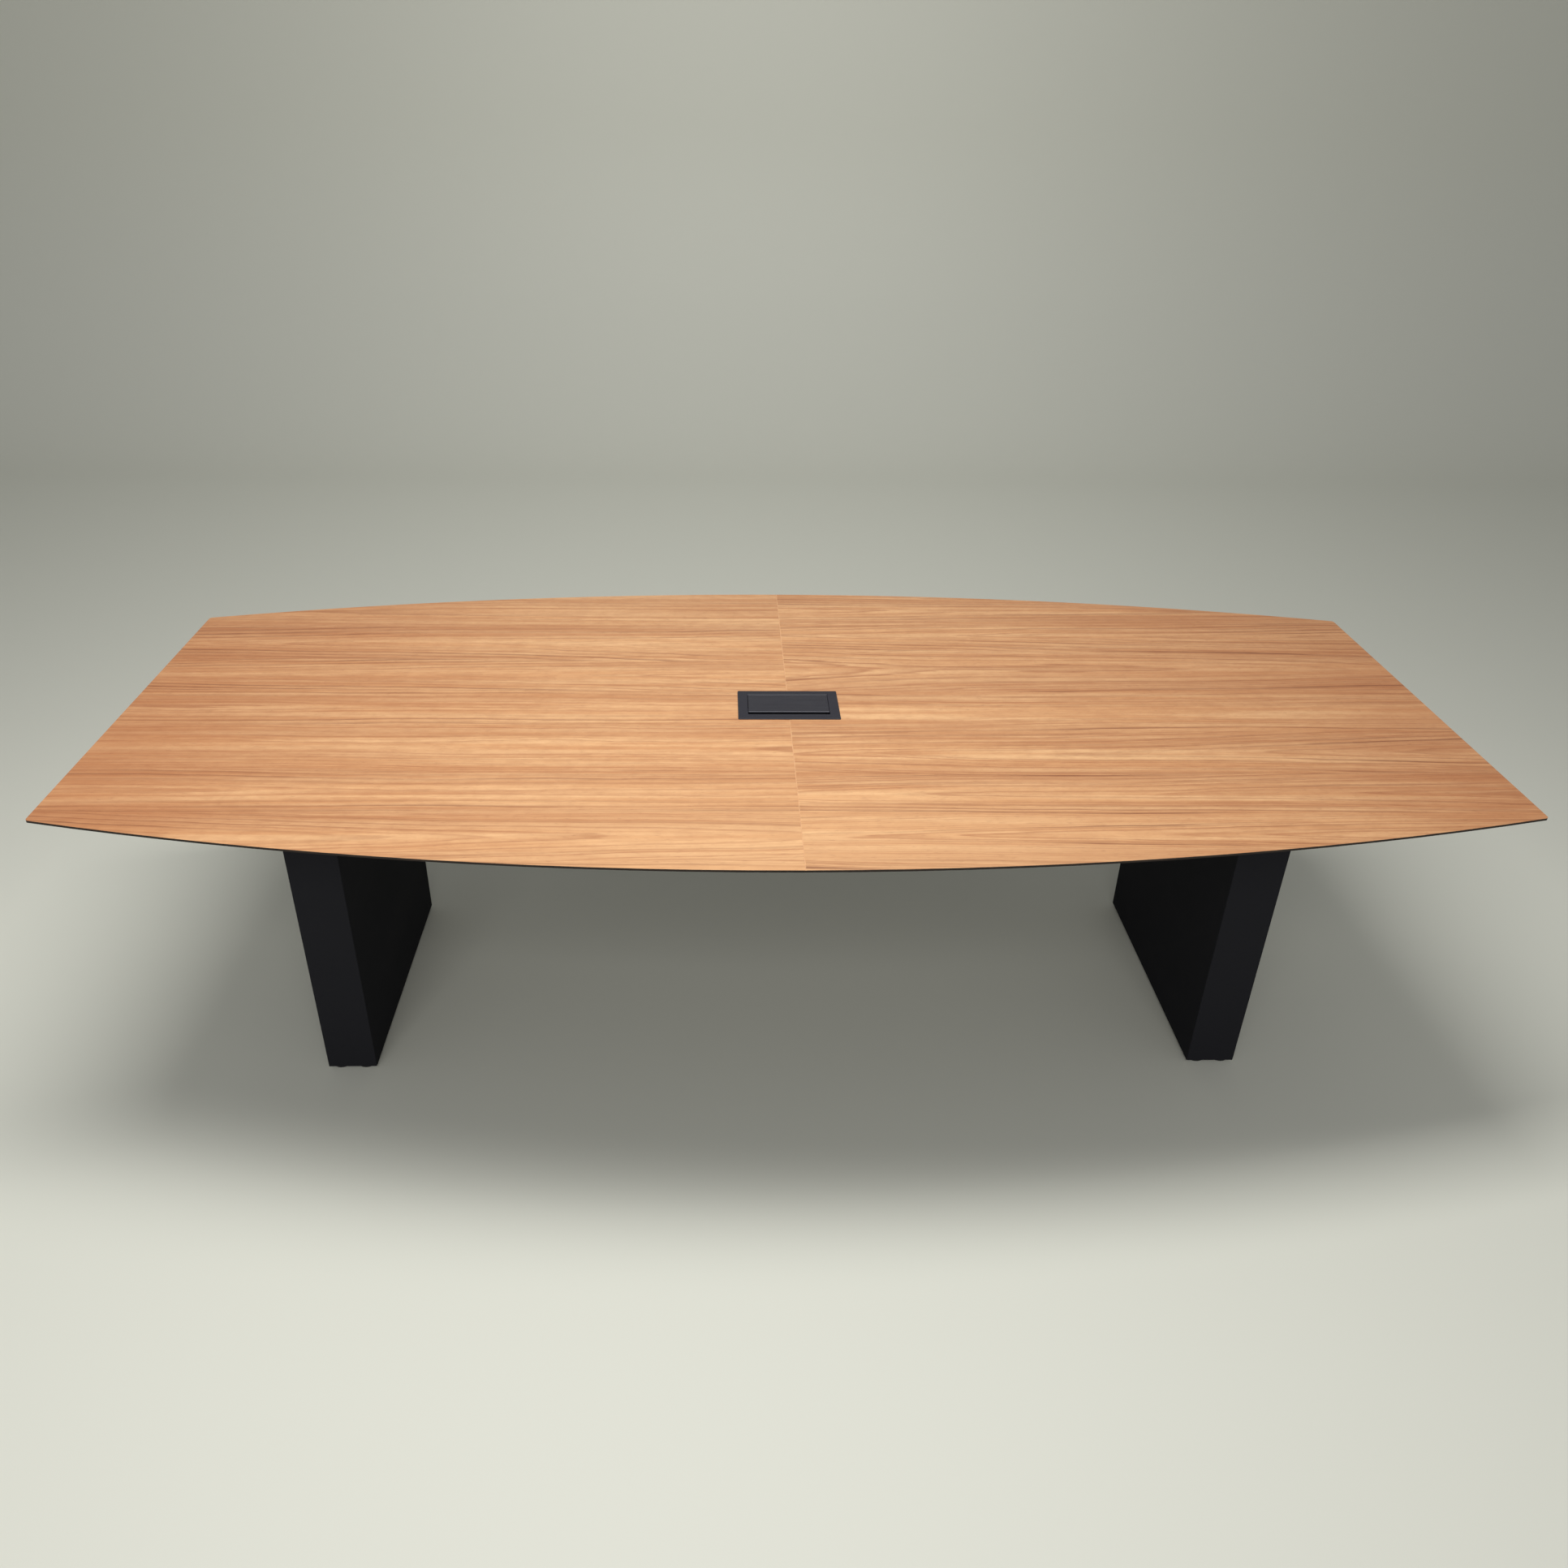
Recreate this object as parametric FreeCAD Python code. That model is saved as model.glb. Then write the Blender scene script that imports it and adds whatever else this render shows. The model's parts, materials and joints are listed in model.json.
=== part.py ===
"""Boat-shaped meeting table: a top in two halves on two slab legs, with a lidded power box in the seam.

Millimetres, +Z up, +X to the right, the front edge towards -Y, origin on the floor under the table's middle.
"""
import FreeCAD, Part
import os
from math import asin, cos, degrees, hypot, radians, sin

V = FreeCAD.Vector
ORIGIN = V(0, 0, 0)
UP = V(0, 0, 1)
DOWN = V(0, 0, -1)
RIGHT = V(1, 0, 0)
BACK = V(0, 1, 0)
LEFT_SIDE = -1
RIGHT_SIDE = 1
SIDES = {"left": LEFT_SIDE, "right": RIGHT_SIDE}

# Overall size
table_length = 2743.0
table_width_middle = 1255.0
table_width_end = 927.0
table_height = 740.0

# Top: laminate on a core board with a backer below
top_thickness = 25.0
laminate_thickness = 1.0
backer_thickness = 0.8
edge_lip_height = 4.4
bevel_width = 48.0
corner_radius = 8.0
seam_arris = 0.8

# Dowels that line up the seam
dowel_radius = 5.0
dowel_length = 50.0
dowel_end_gap = 1.0
dowel_shares = (-0.84, -0.52, -0.2, 0.2, 0.52, 0.84)

# Draw bolts that pull the seam shut, in pockets of the underside
draw_rod_radius = 3.0
draw_rod_length = 110.0
draw_rod_height = 8.0
draw_channel_width = 8.0
draw_pocket_start = 34.0
draw_pocket_length = 34.0
draw_pocket_width = 30.0
draw_pocket_depth = 16.0
draw_plate_thickness = 4.0
draw_plate_width = 24.0
draw_plate_height = 13.0
draw_nut_flats = 10.0
draw_nut_length = 5.0
draw_bolt_shares = (-0.68, -0.28, 0.28, 0.68)

# Slab legs of mitred boards
leg_span = 2000.0
leg_thickness = 104.0
leg_depth = 604.0
leg_board = 18.0
leg_arris = 1.0
leg_floor_gap = 6.5
leg_head_thickness = 30.0
leg_base_thickness = 24.0
leg_rib_thickness = 18.0

# Steel plate on each leg's head, with bolts into the top
plate_thickness = 5.0
plate_flange = 40.0
plate_setback = 20.0
plate_bolt_shares = (-0.8, 0.0, 0.8)
bolt_radius = 4.0
bolt_head_flats = 13.0
bolt_head_height = 5.3
bolt_grip = 12.0
bolt_hole_play = 0.5
insert_radius = 6.0
insert_length = 14.0
thread_clearance = 0.05

# Countersunk screws from the plate into the leg's head
head_screw_radius = 2.5
head_screw_length = 28.0
head_screw_head_radius = 5.0
head_screw_head_height = 2.5
head_screw_spacing = 36.0
head_screw_shares = (-0.86, 0.0, 0.86)

# Steel angles under the top, across the seam
stiffener_spacing = 480.0
stiffener_leg = 40.0
stiffener_wall = 4.0
stiffener_end_gap = 16.0
pan_screw_radius = 2.2
pan_screw_grip = 16.0
pan_screw_head_radius = 4.5
pan_screw_head_height = 3.0
stiffener_screw_shares = (0.1, 0.37, 0.64, 0.94)

# Levelling glides
glide_gap = 0.3
glide_edge = 1.2
glide_pair_gap = 9.0
glide_stem_radius = 4.0
glide_stem_length = 42.0
glide_stem_tip = 1.0
glide_insert_radius = 5.5
glide_insert_length = 20.0
glide_insert_margin = 1.5

# Power box: bezel and the well inside it
bezel_width = 213.0
bezel_depth = 132.0
bezel_front_y = -71.7
bezel_height = 2.0
bezel_corner_radius = 3.0
bezel_edge = 0.8
well_width = 171.4
well_depth = 99.0
well_front_border = 21.0
skirt_wall = 2.5
skirt_depth = 22.0

# Lid and its pivots
lid_thickness = 3.0
lid_depth = 77.5
lid_side_gap = 1.2
lid_proud = 1.0
cable_slot = 10.0
lid_front_radius = 1.6
lid_edge = 0.5
pivot_inset = 5.0
pivot_drop = 5.5
pivot_swing_gap = 0.3
pivot_radius = 2.0
pivot_clearance = 0.05
pivot_end_gap = 0.2
lug_radius = 4.2
lug_width = 6.0

# Strip behind the lid, and the tabs that the lid rests on
strip_thickness = 3.0
strip_end_gap = 0.3
strip_edge = 0.5
ledge_thickness = 3.0
tab_reach = 9.0
tab_length = 12.0
tab_thickness = 3.0
tab_setback = 12.0
bumper_height = 2.0
bumper_margin = 1.5
bumper_gap = 0.3

# Folded housing below the bezel
housing_wall = 1.5
housing_clearance = 0.3
housing_depth = 88.0
housing_top_gap = 0.5
cutout_clearance = 1.5

# Socket deck and its modules
deck_drop = 45.0
deck_wall = 1.5
deck_flange = 8.0
deck_clearance = 0.2
deck_screw_radius = 1.5
deck_screw_head_radius = 2.8
deck_screw_head_height = 1.6
deck_screw_length = 5.0
deck_screw_share = 0.75
module_size = 45.0
module_gap = 0.4
module_face = 2.5
module_face_edge = 0.6
module_lip = 2.0
module_body_depth = 22.0
module_clearance = 0.2
outlet_slot_width = 1.8
outlet_slot_length = 7.2
outlet_slot_spacing = 12.7
outlet_earth_radius = 2.4
outlet_earth_offset = 8.0
outlet_slot_depth = 12.0
outlet_slot_rise = 4.0
charge_port_width = 12.4
charge_port_height = 5.2
charge_port_depth = 10.0
charge_tongue_width = 10.4
charge_tongue_height = 1.8
charge_port_spacing = 17.0
data_port_width = 12.0
data_port_height = 8.4
data_port_depth = 13.0
data_port_spacing = 19.0

# Clamp brackets that hold the box up against the underside
clamp_wall = 3.0
clamp_width = 30.0
clamp_foot = 25.0
clamp_drop = 26.0
clamp_screw_radius = 2.5
clamp_screw_drop = 12.0
clamp_screw_head_radius = 4.75
clamp_screw_head_height = 3.0

# Cord gland in the housing's rear wall
gland_share = -0.55
gland_bore_radius = 4.5
gland_thread_radius = 8.0
gland_inner_reach = 6.0
gland_outer_reach = 10.0
gland_flats = 19.0
gland_flange = 4.0
gland_nut_flats = 22.0
gland_nut_length = 4.0
gland_dome_radius = 10.5
gland_dome_end_radius = 7.5
gland_dome_end = 4.0
gland_bore_play = 0.1

# How far a cutting shape runs past the face that it cuts, and how close two places count as one
overrun = 5.0
same_place = 0.001

# Heights worked out from the sizes above
laminate_z = table_height - laminate_thickness
under_z = table_height - top_thickness
backer_z = under_z + backer_thickness
lip_z = table_height - edge_lip_height
leg_top_z = under_z - plate_thickness
leg_height = leg_top_z - leg_floor_gap
bezel_z = table_height + bezel_height
lid_z = bezel_z + lid_proud
lid_under_z = lid_z - lid_thickness
pivot_z = lid_z - pivot_drop
deck_z = table_height - deck_drop
floor_z = table_height - housing_depth

# The top's outline: two shallow arcs and two straight ends
half_length = table_length / 2
half_middle = table_width_middle / 2
half_end = table_width_end / 2
bow = half_middle - half_end
side_radius = (half_length ** 2 + bow ** 2) / (2 * bow)

# The power box in plan, from the bezel's front edge to the back
bezel_back_y = bezel_front_y + bezel_depth
well_front_y = bezel_front_y + well_front_border
well_back_y = well_front_y + well_depth
well_x = well_width / 2
skirt_x = well_x + skirt_wall
housing_x = skirt_x + housing_clearance
housing_front_y = well_front_y - skirt_wall - housing_clearance
housing_back_y = well_back_y + skirt_wall + housing_clearance
cap_x = housing_x + housing_wall
lid_x = well_x - lid_side_gap
lid_front_y = well_front_y + cable_slot
lid_back_y = lid_front_y + lid_depth
pivot_y = lid_back_y - pivot_inset
strip_front_y = pivot_y + hypot(pivot_inset, pivot_drop) + pivot_swing_gap
deck_y = (housing_front_y + housing_back_y) / 2
gland_z = (deck_z - deck_wall - deck_flange + floor_z + housing_wall) / 2
gland_x = gland_share * housing_x

# The glides: their inserts stand just inside the leg's walls, and the pads of a pair nearly meet
glide_inset = leg_board + glide_insert_margin + glide_insert_radius
glide_radius = leg_thickness / 2 - glide_inset - glide_pair_gap / 2

# The leg's plate and the stiffeners between the two plates
leg_x = (leg_span - leg_thickness) / 2
plate_x = leg_thickness / 2 + plate_flange
plate_y = leg_depth / 2 - plate_setback
bolt_x = leg_thickness / 2 + plate_flange / 2
stiffener_x = leg_x - plate_x - stiffener_end_gap
stiffener_y = stiffener_spacing / 2
dowel_z = (laminate_z + backer_z) / 2
draw_z = under_z + draw_rod_height


def block(x0, x1, y0, y1, z0, z1):
    """A box between two opposite corners."""
    return Part.makeBox(x1 - x0, y1 - y0, z1 - z0, V(x0, y0, z0))


def placed(shape, base, direction):
    """Stands a shape built along +Z on a base point, turned to a direction."""
    shape.Placement = FreeCAD.Placement(base, FreeCAD.Rotation(UP, direction))
    return shape


def plate_of(points):
    """A flat face inside a closed outline."""
    return Part.Face(Part.makePolygon(points + points[:1]))


def turned(profile, base, direction):
    """A turned solid: the profile is a list of (radius, distance along the axis)."""
    face = plate_of([V(radius, 0, along) for radius, along in profile])
    return placed(face.revolve(ORIGIN, UP, 360), base, direction)


def rod(radius, length, base, direction):
    """A plain round bar."""
    return Part.makeCylinder(radius, length, base, direction)


def hexagon(flats, length, base, direction):
    """A six-sided bar, measured across its flats."""
    corner = flats / 2 / cos(radians(30))
    turns = [radians(60 * turn) for turn in range(6)]
    face = plate_of([V(corner * cos(turn), corner * sin(turn), 0) for turn in turns])
    return placed(face.extrude(UP * length), base, direction)


def upright_edges(shape):
    """The straight edges that run straight up."""
    edges = [edge for edge in shape.Edges if len(edge.Vertexes) == 2]
    return [edge for edge in edges if edge.tangentAt(edge.FirstParameter).cross(UP).Length < same_place]


def edges_at(shape, height):
    """The edges that lie level at one height."""
    box = [(edge, edge.BoundBox) for edge in shape.Edges]
    return [edge for edge, b in box if abs(b.ZMin - height) + abs(b.ZMax - height) < same_place]


def save(name, *shapes):
    """Writes one node, as a single solid or as a group of separate solids."""
    solids = [solid for shape in shapes for solid in shape.Solids]
    shape = solids[0] if len(solids) == 1 else Part.makeCompound(solids)
    shape.exportStep("parts/" + name + ".step")
    print(name, len(solids), "solid(s)", round(shape.Volume), "mm3")


def bevel_section(edge):
    """The triangle that the reverse bevel takes away, for an edge at this distance from its axis."""
    slope = (lip_z - under_z) / bevel_width
    inner = edge - bevel_width - overrun / slope
    outer = edge + overrun
    return plate_of([
        V(inner, 0, under_z - overrun),
        V(outer, 0, lip_z + overrun * slope),
        V(outer, 0, under_z - overrun),
    ])


def bevel_cuts():
    """Reverse bevels under the two bowed sides and the two straight ends."""
    half_sweep = degrees(asin((half_length + overrun) / side_radius))
    cuts = []
    for facing in (-90, 90):
        cut = bevel_section(side_radius).revolve(ORIGIN, UP, 2 * half_sweep)
        cut.rotate(ORIGIN, UP, facing - half_sweep)
        cut.translate(V(0, (side_radius - half_middle) * (1 if facing < 0 else -1), 0))
        cuts.append(cut)
    for facing in (0, 180):
        cut = bevel_section(half_length).extrude(BACK * table_width_middle)
        cut.translate(V(0, -half_middle, 0))
        cut.rotate(ORIGIN, UP, facing)
        cuts.append(cut)
    return cuts


def table_blank():
    """The whole top before it is split: bowed sides, straight ends, rounded corners, reverse bevel."""
    front_left = V(-half_length, -half_end, under_z)
    front_right = V(half_length, -half_end, under_z)
    back_right = V(half_length, half_end, under_z)
    back_left = V(-half_length, half_end, under_z)
    outline = Part.Wire([
        Part.Arc(front_left, V(0, -half_middle, under_z), front_right).toShape(),
        Part.makeLine(front_right, back_right),
        Part.Arc(back_right, V(0, half_middle, under_z), back_left).toShape(),
        Part.makeLine(back_left, front_left),
    ])
    blank = Part.Face(outline).extrude(UP * top_thickness)
    blank = blank.makeFillet(corner_radius, upright_edges(blank))
    return blank.cut(bevel_cuts())


def layer_half(blank, low, high, side):
    """One half of one layer of the top, between two heights."""
    x0, x1 = sorted((0, side * (half_length + overrun)))
    return blank.common(block(x0, x1, -half_middle - overrun, half_middle + overrun, low, high))


def box_cutout():
    """The hole through the top for the power box's housing."""
    x = cap_x + cutout_clearance
    front = housing_front_y - housing_wall - cutout_clearance
    back = housing_back_y + housing_wall + cutout_clearance
    return block(-x, x, front, back, under_z - overrun, table_height + overrun)


def dowel_places():
    """Where the dowels cross the seam."""
    return [V(0, share * half_middle, dowel_z) for share in dowel_shares]


def dowel_holes():
    """Blind holes for the dowels in both halves."""
    reach = dowel_length / 2 + dowel_end_gap
    radius = dowel_radius + thread_clearance
    return [rod(radius, 2 * reach, place - RIGHT * reach, RIGHT) for place in dowel_places()]


def draw_pockets():
    """Routed pockets and channels in the underside for the draw bolts."""
    cuts = []
    bottom = under_z - overrun
    far = draw_pocket_start + draw_pocket_length
    for share in draw_bolt_shares:
        y = share * half_middle
        channel = draw_channel_width / 2
        cuts.append(block(-far, far, y - channel, y + channel, bottom, draw_z + channel))
        for side in SIDES.values():
            x0, x1 = sorted((side * draw_pocket_start, side * far))
            half = draw_pocket_width / 2
            cuts.append(block(x0, x1, y - half, y + half, bottom, under_z + draw_pocket_depth))
    return cuts


def plate_bolt_places():
    """Where the plates bolt to the top: three bolts along each flange of each plate."""
    ends = [(leg * leg_x + flange * bolt_x) for leg in SIDES.values() for flange in SIDES.values()]
    return [V(x, share * plate_y, under_z) for x in ends for share in plate_bolt_shares]


def stiffener_screw_places():
    """Where the stiffeners are screwed up into the top."""
    y = stiffener_y - stiffener_leg / 2
    xs = [end * share * stiffener_x for end in SIDES.values() for share in stiffener_screw_shares]
    return [V(x, row * y, under_z) for row in (-1, 1) for x in xs]


def insert_holes():
    """Blind holes in the underside for the threaded inserts."""
    radius = insert_radius + thread_clearance
    depth = insert_length + thread_clearance
    return [rod(radius, depth + overrun, at - UP * overrun, UP) for at in plate_bolt_places()]


def pilot_holes():
    """Blind holes in the underside for the stiffeners' screws."""
    radius = pan_screw_radius + thread_clearance
    depth = pan_screw_grip + thread_clearance
    return [rod(radius, depth + overrun, at - UP * overrun, UP) for at in stiffener_screw_places()]


def seam_groove():
    """The eased upper edges of the seam, as one shallow V."""
    half = seam_arris + overrun
    top = table_height + overrun
    face = plate_of([
        V(-half, -half_middle - overrun, top),
        V(half, -half_middle - overrun, top),
        V(0, -half_middle - overrun, table_height - seam_arris),
    ])
    return face.extrude(BACK * (table_width_middle + 2 * overrun))


def make_top():
    """Laminate, core and backer of both halves."""
    blank = table_blank().cut(box_cutout())
    below = draw_pockets() + insert_holes() + pilot_holes()
    for name, side in SIDES.items():
        laminate = layer_half(blank, laminate_z, table_height + overrun, side).cut(seam_groove())
        core = layer_half(blank, backer_z, laminate_z, side).cut(below + dowel_holes())
        backer = layer_half(blank, under_z - overrun, backer_z, side).cut(below)
        save("top_laminate_" + name, laminate)
        save("top_core_" + name, core)
        save("top_backer_" + name, backer)


def make_seam_hardware():
    """Dowels and draw bolts that hold the two halves together."""
    half = RIGHT * (dowel_length / 2)
    save("seam_dowels", *[rod(dowel_radius, dowel_length, at - half, RIGHT) for at in dowel_places()])
    rods = []
    plates = []
    nuts = []
    for share in draw_bolt_shares:
        middle = V(0, share * half_middle, draw_z)
        rods.append(rod(draw_rod_radius, draw_rod_length, middle - RIGHT * (draw_rod_length / 2), RIGHT))
        for side in SIDES.values():
            seat = middle + RIGHT * (side * draw_pocket_start)
            out = RIGHT * side
            hole = rod(draw_rod_radius + thread_clearance, draw_plate_thickness + draw_nut_length, seat, out)
            x0, x1 = sorted((seat.x, seat.x + side * draw_plate_thickness))
            width = draw_plate_width / 2
            height = draw_plate_height / 2
            plate = block(x0, x1, seat.y - width, seat.y + width, draw_z - height, draw_z + height)
            plates.append(plate.cut(hole))
            nut = hexagon(draw_nut_flats, draw_nut_length, seat + out * draw_plate_thickness, out)
            nuts.append(nut.cut(hole))
    save("seam_draw_rods", *rods)
    save("seam_draw_plates", *plates)
    save("seam_draw_nuts", *nuts)


def pan_screw(place, wall):
    """A pan-head screw driven up through a wall of this thickness into the top."""
    profile = [
        (0, -pan_screw_head_height),
        (pan_screw_head_radius, -pan_screw_head_height),
        (pan_screw_head_radius, 0),
        (pan_screw_radius, 0),
        (pan_screw_radius, wall + pan_screw_grip),
        (0, wall + pan_screw_grip),
    ]
    return turned(profile, place - UP * wall, UP)


def make_stiffeners():
    """Two steel angles under the top, with the upright leg on the outer side."""
    screws = stiffener_screw_places()
    radius = pan_screw_radius + bolt_hole_play
    holes = [rod(radius, 2 * stiffener_leg, at - UP * stiffener_leg, UP) for at in screws]
    for name, row in (("front", -1), ("rear", 1)):
        y0, y1 = sorted((row * stiffener_y, row * (stiffener_y - stiffener_leg)))
        w0, w1 = sorted((row * stiffener_y, row * (stiffener_y - stiffener_wall)))
        flange = block(-stiffener_x, stiffener_x, y0, y1, under_z - stiffener_wall, under_z)
        web = block(-stiffener_x, stiffener_x, w0, w1, under_z - stiffener_leg, under_z)
        save("stiffener_" + name, flange.fuse(web).removeSplitter().cut(holes))
    save("stiffener_screws", *[pan_screw(at, stiffener_wall) for at in screws])


def leg_wall(half_run, facing, middle):
    """One mitred board of a leg: its outer face is centred on a point and turned to a facing in degrees."""
    outer = half_run - leg_arris
    ease = half_run - leg_arris / 2
    inner = half_run - leg_board
    face = plate_of([
        V(-outer, 0, 0),
        V(outer, 0, 0),
        V(ease, leg_arris / 2, 0),
        V(inner, leg_board, 0),
        V(-inner, leg_board, 0),
        V(-ease, leg_arris / 2, 0),
    ])
    wall = face.extrude(UP * leg_height)
    wall.rotate(ORIGIN, UP, facing)
    wall.translate(middle)
    return wall


def glide_places(side):
    """Where the levelling glides stand under one leg, with their names."""
    places = {}
    for row, y in (("front", -1), ("rear", 1)):
        for face, x in (("outer", side), ("inner", -side)):
            middle_x = side * leg_x + x * (leg_thickness / 2 - glide_inset)
            places[row + "_" + face] = V(middle_x, y * (leg_depth / 2 - glide_inset), 0)
    return places


def head_screw_places(side):
    """Where the plate is screwed to the leg's head, at the level of the plate's upper face."""
    xs = [side * leg_x + row * head_screw_spacing / 2 for row in (-1, 1)]
    return [V(x, share * plate_y, under_z) for x in xs for share in head_screw_shares]


def head_screw(place, play):
    """A countersunk screw, or with some play its hole, going down from the plate's upper face."""
    profile = [
        (0, 0),
        (head_screw_head_radius + play, 0),
        (head_screw_radius + play, head_screw_head_height),
        (head_screw_radius + play, head_screw_length + play),
        (0, head_screw_length + play),
    ]
    return turned(profile, place, DOWN)


def make_leg(name, side):
    """The boards of one leg: four mitred walls, a head, a base and a rib between them."""
    x = side * leg_x
    half_thickness = leg_thickness / 2
    half_depth = leg_depth / 2
    outer_facing = 90 if side == RIGHT_SIDE else 270
    foot = leg_floor_gap
    save("leg_front_board_" + name, leg_wall(half_thickness, 0, V(x, -half_depth, foot)))
    save("leg_rear_board_" + name, leg_wall(half_thickness, 180, V(x, half_depth, foot)))
    outer_x = x + side * half_thickness
    inner_x = x - side * half_thickness
    save("leg_outer_board_" + name, leg_wall(half_depth, outer_facing, V(outer_x, 0, foot)))
    save("leg_inner_board_" + name, leg_wall(half_depth, outer_facing + 180, V(inner_x, 0, foot)))
    room_x = half_thickness - leg_board
    room_y = half_depth - leg_board
    base_top = foot + leg_base_thickness
    head_bottom = leg_top_z - leg_head_thickness
    base = block(x - room_x, x + room_x, -room_y, room_y, foot, base_top)
    seats = []
    for at in glide_places(side).values():
        seats.append(rod(glide_insert_radius + thread_clearance, leg_base_thickness + 2 * overrun, at, UP))
    save("leg_base_" + name, base.cut(seats))
    head = block(x - room_x, x + room_x, -room_y, room_y, head_bottom, leg_top_z)
    holes = [head_screw(at, thread_clearance) for at in head_screw_places(side)]
    save("leg_head_" + name, head.cut(holes))
    rib = leg_rib_thickness / 2
    save("leg_rib_" + name, block(x - room_x, x + room_x, -rib, rib, base_top, head_bottom))


def make_leg_plate(name, side):
    """The steel plate between a leg's head and the top, with clear holes in its flanges."""
    x = side * leg_x
    plate = block(x - plate_x, x + plate_x, -plate_y, plate_y, leg_top_z, under_z)
    radius = bolt_radius + bolt_hole_play
    depth = plate_thickness + overrun
    holes = [rod(radius, depth, at - UP * plate_thickness, UP) for at in plate_bolt_places()]
    sinks = [head_screw(at, thread_clearance) for at in head_screw_places(side)]
    save("leg_plate_" + name, plate.cut(holes + sinks))


def make_plate_fasteners():
    """Bolts and threaded inserts between plates and top, and the screws into the legs' heads."""
    bolts = []
    inserts = []
    for at in plate_bolt_places():
        head_z = at - UP * plate_thickness
        shank = rod(bolt_radius, plate_thickness + bolt_grip, head_z, UP)
        head = hexagon(bolt_head_flats, bolt_head_height, head_z, DOWN)
        bolts.append(shank.fuse(head).removeSplitter())
        sleeve = rod(insert_radius, insert_length, at, UP)
        inserts.append(sleeve.cut(rod(bolt_radius + thread_clearance, insert_length, at, UP)))
    save("leg_plate_bolts", *bolts)
    save("leg_plate_inserts", *inserts)
    places = [at for side in SIDES.values() for at in head_screw_places(side)]
    save("leg_plate_screws", *[head_screw(at, 0) for at in places])


def glide(place):
    """A levelling glide: a round pad moulded on a threaded stem."""
    height = leg_floor_gap - glide_gap
    top = height + glide_stem_length
    profile = [
        (0, 0),
        (glide_radius - glide_edge, 0),
        (glide_radius, glide_edge),
        (glide_radius, height - glide_edge),
        (glide_radius - glide_edge, height),
        (glide_stem_radius, height),
        (glide_stem_radius, top - glide_stem_tip),
        (glide_stem_radius - glide_stem_tip, top),
        (0, top),
    ]
    return turned(profile, place, UP)


def make_glides():
    """Eight glides, each a node of its own, and the inserts in the leg bases that hold them."""
    sleeves = []
    for name, side in SIDES.items():
        for corner, place in glide_places(side).items():
            save("glide_" + name + "_" + corner, glide(place))
            seat = place + UP * leg_floor_gap
            bore = rod(glide_stem_radius + thread_clearance, glide_insert_length, seat, UP)
            sleeves.append(rod(glide_insert_radius, glide_insert_length, seat, UP).cut(bore))
    save("glide_inserts", *sleeves)


def pivot_pin(side, play):
    """A lid pivot, or with some play its hole, from inside the lug to the outside of the skirt."""
    start = V(side * (lid_x - lug_width), pivot_y, pivot_z)
    length = skirt_x - pivot_end_gap - lid_x + lug_width
    return rod(pivot_radius + play, length, start, RIGHT * side)


def rest_tab(side):
    """A tab on the skirt's side wall under the lid's front corner, with its rubber bumper."""
    x0, x1 = sorted((side * well_x, side * (well_x - tab_reach)))
    y0 = lid_front_y + tab_setback
    y1 = y0 + tab_length
    top = lid_under_z - bumper_gap - bumper_height
    tab = block(x0, x1, y0, y1, top - tab_thickness, top)
    margin = bumper_margin
    bumper = block(x0 + margin, x1 - margin, y0 + margin, y1 - margin, top, top + bumper_height)
    return tab, bumper


def make_bezel():
    """The frame round the well: a flat rim on the top, a skirt into the cutout, a ledge and two tabs."""
    half = bezel_width / 2
    rim = block(-half, half, bezel_front_y, bezel_back_y, table_height, bezel_z)
    rim = rim.makeFillet(bezel_corner_radius, upright_edges(rim))
    rim = rim.makeChamfer(bezel_edge, edges_at(rim, bezel_z))
    skirt_z = table_height - skirt_depth
    skirt_front = well_front_y - skirt_wall
    skirt_back = well_back_y + skirt_wall
    skirt = block(-skirt_x, skirt_x, skirt_front, skirt_back, skirt_z, table_height)
    well = block(-well_x, well_x, well_front_y, well_back_y, skirt_z - overrun, bezel_z + overrun)
    strip_z = bezel_z - strip_thickness
    ledge = block(-well_x, well_x, strip_front_y, well_back_y, strip_z - ledge_thickness, strip_z)
    tabs = [rest_tab(side)[0] for side in SIDES.values()]
    bezel = rim.fuse(skirt).cut(well).fuse([ledge] + tabs).removeSplitter()
    save("power_bezel", bezel.cut([pivot_pin(side, pivot_clearance) for side in SIDES.values()]))
    save("lid_bumpers", *[rest_tab(side)[1] for side in SIDES.values()])


def make_lid():
    """The flip-up lid: a plate with a rounded front edge and a pivot lug at each rear corner."""
    plate = block(-lid_x, lid_x, lid_front_y, lid_back_y, lid_under_z, lid_z)
    top_edges = edges_at(plate, lid_z)
    front = [edge for edge in top_edges if edge.BoundBox.YMax < lid_front_y + lid_edge]
    plate = plate.makeFillet(lid_front_radius, front)
    rear = [edge for edge in edges_at(plate, lid_z) if edge.BoundBox.YMin > lid_back_y - lid_edge]
    plate = plate.makeChamfer(lid_edge, rear)
    lugs = []
    for side in SIDES.values():
        base = V(side * lid_x, pivot_y, pivot_z)
        lugs.append(rod(lug_radius, lug_width, base, RIGHT * -side))
        x0, x1 = sorted((side * lid_x, side * (lid_x - lug_width)))
        lugs.append(block(x0, x1, pivot_y - lug_radius, pivot_y + lug_radius, pivot_z, lid_under_z))
    holes = [pivot_pin(side, pivot_clearance) for side in SIDES.values()]
    save("power_lid", plate.fuse(lugs).removeSplitter().cut(holes))
    save("lid_pivot_pins", *[pivot_pin(side, 0) for side in SIDES.values()])


def make_strip():
    """The narrow strip on the ledge behind the lid."""
    x = well_x - strip_end_gap
    back = well_back_y - strip_end_gap
    strip = block(-x, x, strip_front_y, back, bezel_z - strip_thickness, bezel_z)
    save("lid_rear_strip", strip.makeChamfer(strip_edge, edges_at(strip, bezel_z)))


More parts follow.
